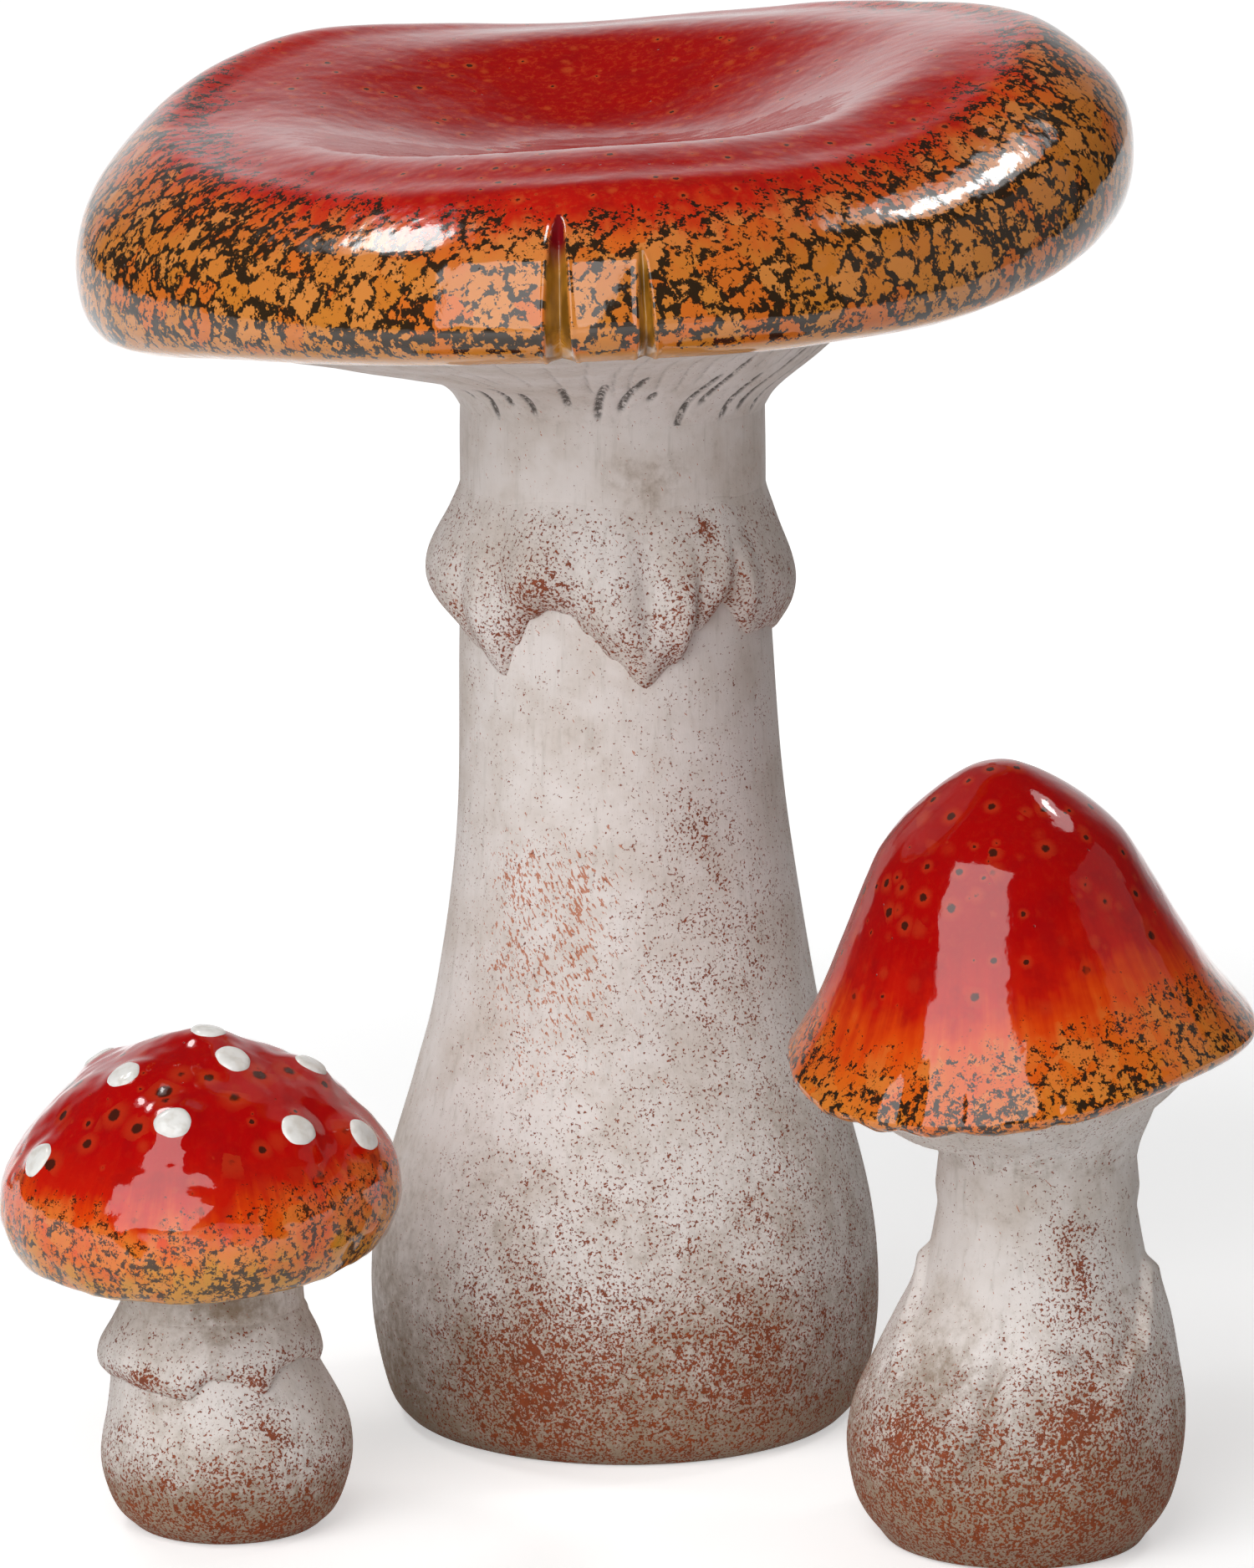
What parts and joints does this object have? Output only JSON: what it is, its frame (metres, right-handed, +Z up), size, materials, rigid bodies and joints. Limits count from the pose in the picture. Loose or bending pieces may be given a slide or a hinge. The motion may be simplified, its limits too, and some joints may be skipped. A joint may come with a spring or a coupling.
{
  "type": "mushroom garden statue",
  "caption": "Free-standing hollow terracotta mushrooms for the garden, with glossy red to ochre glazed caps on whitewashed stems with a ragged ring or a folded sheath.",
  "frame": {"origin": "on the ground under the middle of the set's bounding box", "axes": "+Z up, +X to the right and -Y towards someone who looks at the front of the set"},
  "size_m": [0.3726, 0.3821, 0.4367],
  "materials": {
    "red_glaze": "glossy",
    "whitewashed_clay": "matt",
    "white_enamel": "glossy"
  },
  "bodies": {
    "tall_mushroom": {"tall_cap": "red_glaze", "tall_gills": "whitewashed_clay", "tall_stem": "whitewashed_clay", "tall_skirt": "whitewashed_clay"},
    "medium_mushroom": {"medium_cap": "red_glaze", "medium_gills": "whitewashed_clay", "medium_stem": "whitewashed_clay"},
    "small_mushroom": {"small_cap": "red_glaze", "small_gills": "whitewashed_clay", "small_stem": "whitewashed_clay", "small_skirt": "whitewashed_clay", "small_spot_01": "white_enamel", "small_spot_02": "white_enamel", "small_spot_03": "white_enamel", "small_spot_04": "white_enamel", "small_spot_05": "white_enamel", "small_spot_06": "white_enamel", "small_spot_07": "white_enamel", "small_spot_08": "white_enamel", "small_spot_09": "white_enamel", "small_spot_10": "white_enamel", "small_spot_11": "white_enamel", "small_spot_12": "white_enamel"}
  },
  "joints": [
    {"name": "medium_slide", "type": "slide", "parent": "tall_mushroom", "child": "medium_mushroom", "axis": [0, -1, 0], "range_m": [0, 0.3]},
    {"name": "small_slide", "type": "slide", "parent": "tall_mushroom", "child": "small_mushroom", "axis": [0, -1, 0], "range_m": [0, 0.3]}
  ]
}
